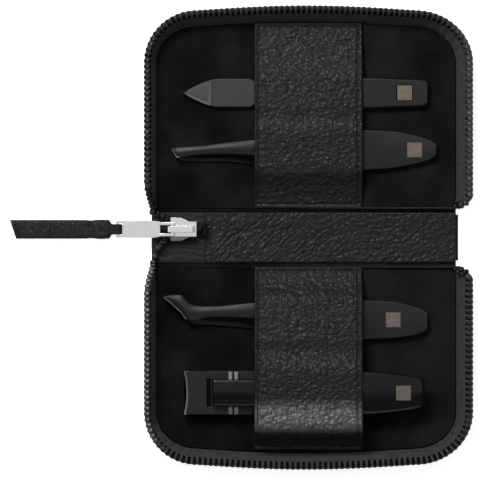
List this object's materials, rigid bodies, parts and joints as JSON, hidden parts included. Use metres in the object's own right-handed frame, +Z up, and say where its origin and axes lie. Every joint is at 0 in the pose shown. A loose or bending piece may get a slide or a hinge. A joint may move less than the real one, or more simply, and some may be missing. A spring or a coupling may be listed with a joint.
{
  "type": "manicure set case",
  "caption": "Zip case of black leather lying open, with a nail file, slant and angled tweezers and a nail clipper held under two leather bands.",
  "frame": {"origin": "on the underside, in the middle of the spine's width, where the drawn outline of the halves is centred", "axes": "+X along the spine away from the slider, +Y across the fold lines towards the upper half, +Z up out of the open case"},
  "size_m": [0.1579, 0.1584, 0.0135],
  "materials": {
    "cover_leather": "fine-grained black cowhide",
    "grained_leather": "pebbled black leather",
    "stiff_board": "stiffening board",
    "suede": "matte black suede lining",
    "zip_tape": "woven black zip tape",
    "zip_metal": "dark plated zip teeth",
    "slider_metal": "bright polished slider and pull",
    "file_abrasive": "dark grey abrasive coating",
    "black_steel": "satin black coated steel",
    "bright_steel": "bare steel",
    "inlay_steel": "bare warm-grey metal inlay"
  },
  "bodies": {
    "lower_half": {"lower_cover": "cover_leather", "lower_board": "stiff_board", "lower_lining": "suede", "lower_zip_tape": "zip_tape", "lower_zip_teeth": "zip_metal", "lower_top_stop": "zip_metal", "lower_band": "grained_leather"},
    "spine": {"spine_cover": "cover_leather", "spine_board": "stiff_board", "spine_lining": "grained_leather", "zip_tail_tape": "zip_tape", "lower_zip_tail": "zip_metal", "joined_teeth": "zip_metal", "bottom_stop": "zip_metal", "lower_fold_leather": "cover_leather", "upper_fold_leather": "cover_leather", "lower_zip_bridge": "zip_metal", "upper_zip_bridge": "zip_metal"},
    "upper_half": {"upper_cover": "cover_leather", "upper_board": "stiff_board", "upper_lining": "suede", "upper_zip_tape": "zip_tape", "upper_zip_teeth": "zip_metal", "upper_top_stop": "zip_metal", "upper_band": "grained_leather"},
    "slider": {"slider_body": "slider_metal"},
    "pull": {"zip_pull": "slider_metal"},
    "tab": {"leather_tab": "grained_leather"},
    "nail_file": {"file_blade": "file_abrasive", "file_handle": "black_steel", "file_inlay": "inlay_steel"},
    "slant_tweezers": {"slant_tweezers_lower_arm": "black_steel"},
    "slant_arm": {"slant_tweezers_upper_arm": "black_steel", "slant_tweezers_inlay": "inlay_steel"},
    "angled_tweezers": {"angled_tweezers_lower_arm": "black_steel"},
    "angled_arm": {"angled_tweezers_upper_arm": "black_steel", "angled_tweezers_inlay": "inlay_steel"},
    "clipper": {"clipper_lower_jaw": "black_steel", "clipper_post": "bright_steel", "clipper_rivet": "bright_steel", "clipper_front_pin": "bright_steel", "clipper_rear_pin": "bright_steel"},
    "clipper_jaw": {"clipper_upper_jaw": "black_steel"},
    "clipper_lever": {"clipper_lever": "black_steel", "clipper_inlay": "inlay_steel"}
  },
  "joints": [
    {"name": "fold_lower", "type": "hinge", "parent": "lower_half", "child": "spine", "pos_m": [0, -0.00875, 0.0029], "axis": [1, 0, 0], "range_deg": [0, 90], "deforming": ["lower_fold_leather", "lower_zip_bridge"]},
    {"name": "fold_upper", "type": "hinge", "parent": "spine", "child": "upper_half", "pos_m": [0, 0.00875, 0.0029], "axis": [1, 0, 0], "range_deg": [0, 90], "deforming": ["upper_fold_leather", "upper_zip_bridge"]},
    {"name": "slider_travel", "type": "slide", "parent": "spine", "child": "slider", "axis": [1, 0, 0], "range_m": [0, 0.0015]},
    {"name": "pull_swing", "type": "hinge", "parent": "slider", "child": "pull", "pos_m": [-0.0459, 0.0028, 0.00785], "axis": [0, -1, 0], "range_deg": [-160, 0]},
    {"name": "tab_swing", "type": "hinge", "parent": "pull", "child": "tab", "pos_m": [-0.06505, 0.0028, 0.00192], "axis": [0, 1, 0], "range_deg": [-60, 60]},
    {"name": "file_slide", "type": "slide", "parent": "upper_half", "child": "nail_file", "axis": [1, 0, 0], "range_m": [-0.0085, 0.009]},
    {"name": "slant_tweezers_slide", "type": "slide", "parent": "upper_half", "child": "slant_tweezers", "axis": [1, 0, 0], "range_m": [-0.0045, 0.0065]},
    {"name": "slant_arm_squeeze", "type": "hinge", "parent": "slant_tweezers", "child": "slant_arm", "pos_m": [0.0434, 0.0298, 0.0043], "axis": [0, -1, 0], "range_deg": [0, 1], "stiffness_Nm_per_rad": 5},
    {"name": "angled_tweezers_slide", "type": "slide", "parent": "lower_half", "child": "angled_tweezers", "axis": [1, 0, 0], "range_m": [-0.002, 0.0095]},
    {"name": "angled_arm_squeeze", "type": "hinge", "parent": "angled_tweezers", "child": "angled_arm", "pos_m": [0.0404, -0.028, 0.0043], "axis": [0, -1, 0], "range_deg": [0, 1], "stiffness_Nm_per_rad": 5},
    {"name": "clipper_slide", "type": "slide", "parent": "lower_half", "child": "clipper", "axis": [1, 0, 0], "range_m": [-0.009, 0.01]},
    {"name": "clipper_squeeze", "type": "hinge", "parent": "clipper", "child": "clipper_jaw", "pos_m": [0.0325, -0.0528, 0.0046], "axis": [0, -1, 0], "range_deg": [0, 1], "stiffness_Nm_per_rad": 20},
    {"name": "clipper_lever_lift", "type": "hinge", "parent": "clipper", "child": "clipper_lever", "pos_m": [-0.0255, -0.0528, 0.0086], "axis": [0, -1, 0], "range_deg": [0, 1.2]}
  ],
  "couplings": [
    {"joint": "fold_upper", "follows": "fold_lower", "ratio": 1}
  ]
}
